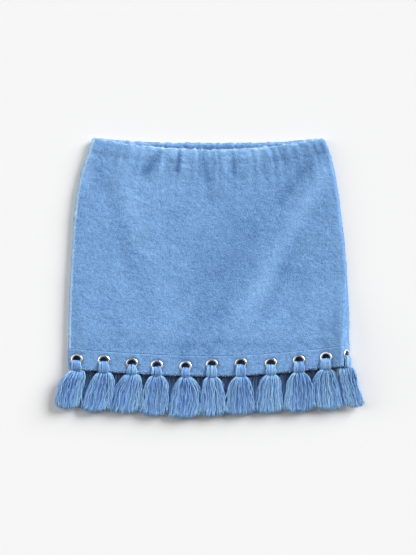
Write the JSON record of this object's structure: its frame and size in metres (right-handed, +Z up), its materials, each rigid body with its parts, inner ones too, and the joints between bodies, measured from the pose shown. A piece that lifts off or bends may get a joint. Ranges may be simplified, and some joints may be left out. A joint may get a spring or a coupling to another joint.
{
  "type": "towelling skirt with eyelets and tassels, laid flat",
  "caption": "Pull-on mini skirt in blue terry towelling, laid flat, with a gathered elastic waist, a hem band with metal eyelets and a yarn tassel in each.",
  "frame": {"origin": "middle of the footprint, on the surface that the skirt lies on", "axes": "+X to the viewer's right across the skirt, +Y from hem to waist, +Z up from the surface"},
  "size_m": [0.3686, 0.3362, 0.0201],
  "materials": {
    "towelling": "looped terry pile",
    "yarn": "soft twisted yarn",
    "nickel": "polished"
  },
  "bodies": {
    "root": {"front_panel": "towelling", "back_panel": "towelling", "front_hem_band": "towelling", "back_hem_band": "towelling", "eyelet_front_01": "nickel", "eyelet_front_02": "nickel", "eyelet_front_03": "nickel", "eyelet_front_04": "nickel", "eyelet_front_05": "nickel", "eyelet_front_06": "nickel", "eyelet_front_07": "nickel", "eyelet_front_08": "nickel", "eyelet_front_09": "nickel", "eyelet_front_10": "nickel", "eyelet_side_01": "nickel", "eyelet_back_01": "nickel", "eyelet_back_02": "nickel", "eyelet_back_03": "nickel", "eyelet_back_04": "nickel", "eyelet_back_05": "nickel", "eyelet_back_06": "nickel", "eyelet_back_07": "nickel", "eyelet_back_08": "nickel", "eyelet_back_09": "nickel", "tassel_front_01": "yarn", "tassel_front_02": "yarn", "tassel_front_03": "yarn", "tassel_front_04": "yarn", "tassel_front_05": "yarn", "tassel_front_06": "yarn", "tassel_front_07": "yarn", "tassel_front_08": "yarn", "tassel_front_09": "yarn", "tassel_front_10": "yarn", "tassel_side_01": "yarn", "tassel_back_01": "yarn", "tassel_back_02": "yarn", "tassel_back_03": "yarn", "tassel_back_04": "yarn", "tassel_back_05": "yarn", "tassel_back_06": "yarn", "tassel_back_07": "yarn", "tassel_back_08": "yarn", "tassel_back_09": "yarn"}
  },
  "joints": []
}
